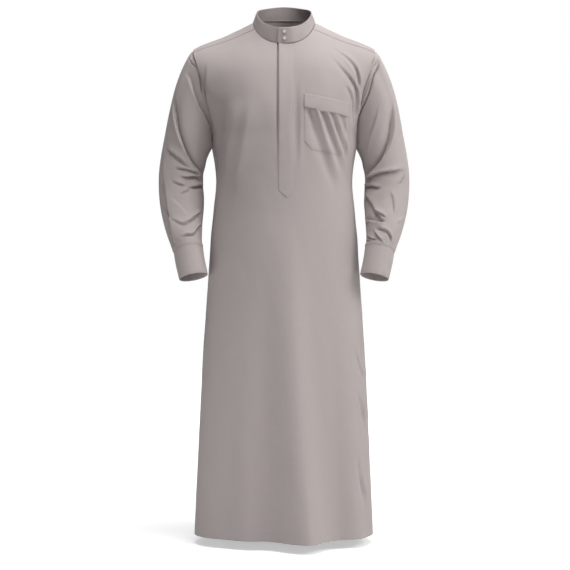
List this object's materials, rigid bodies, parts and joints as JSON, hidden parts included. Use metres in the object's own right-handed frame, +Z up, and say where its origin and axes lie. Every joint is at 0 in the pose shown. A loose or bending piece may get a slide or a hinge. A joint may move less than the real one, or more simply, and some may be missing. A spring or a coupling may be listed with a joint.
{
  "type": "thobe robe",
  "caption": "Men's long thobe robe, worn and filled out: stand collar with snaps, covered pointed placket, chest pocket with flap band, shoulder yoke, long cuffed sleeves, open hem.",
  "frame": {"origin": "on the shoulder line, midway between the two high shoulder points at the sides of the neck, where the wearer's shoulders and neck carry the robe", "axes": "+Z up, along the robe's length from hem to collar; the front faces -Y; +X is the wearer's left"},
  "size_m": [0.6778, 0.3936, 1.4268],
  "materials": {
    "robe_cloth": "matt plain-woven suiting in taupe grey",
    "snap_pearl": "ring snap with a pearl-like cap"
  },
  "bodies": {
    "root": {"front": "robe_cloth", "back": "robe_cloth", "yoke": "robe_cloth", "collar": "robe_cloth", "placket": "robe_cloth", "pocket": "robe_cloth", "pocket_flap": "robe_cloth", "sleeve_left": "robe_cloth", "sleeve_right": "robe_cloth", "cuff_left": "robe_cloth", "cuff_right": "robe_cloth", "snap_upper": "snap_pearl", "snap_lower": "snap_pearl"}
  },
  "joints": []
}
